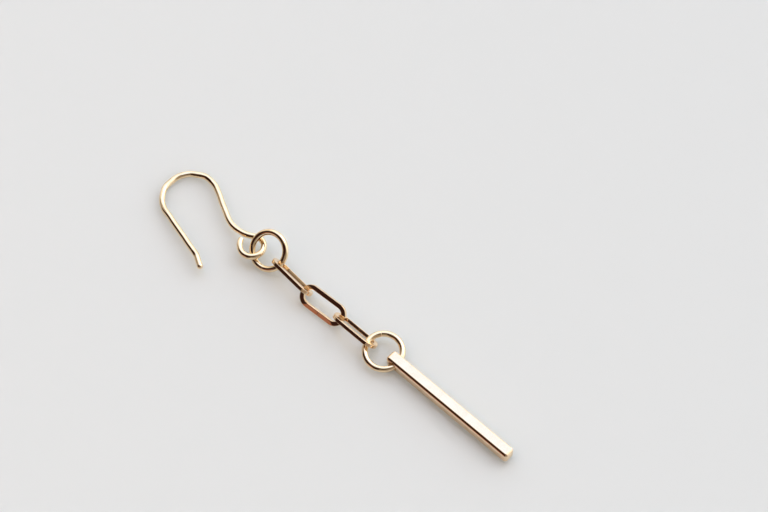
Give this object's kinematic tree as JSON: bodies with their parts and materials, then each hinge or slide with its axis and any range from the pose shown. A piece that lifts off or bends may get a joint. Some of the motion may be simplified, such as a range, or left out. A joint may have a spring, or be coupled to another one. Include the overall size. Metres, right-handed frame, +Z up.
{
  "type": "drop earring",
  "caption": "Drop earring lying on its side: an open ear wire, a chain of long links between round rings, and a slim square bar.",
  "frame": {"origin": "bottom centre of the whole earring as it lies, on the surface that it rests on", "axes": "+X along the chain from the ear wire to the bar's free end, +Z up from the surface"},
  "size_m": [0.0578, 0.0108, 0.0038],
  "materials": {
    "gold_wire": "polished, gold plated",
    "gold_link": "polished, gold plated",
    "gold_bar": "polished, gold plated"
  },
  "bodies": {
    "root": {"ear_hook": "gold_wire", "jump_ring": "gold_wire", "chain_link_1": "gold_link", "chain_link_2": "gold_link", "chain_link_3": "gold_link", "pendant_ring": "gold_wire", "bar": "gold_bar"}
  },
  "joints": []
}
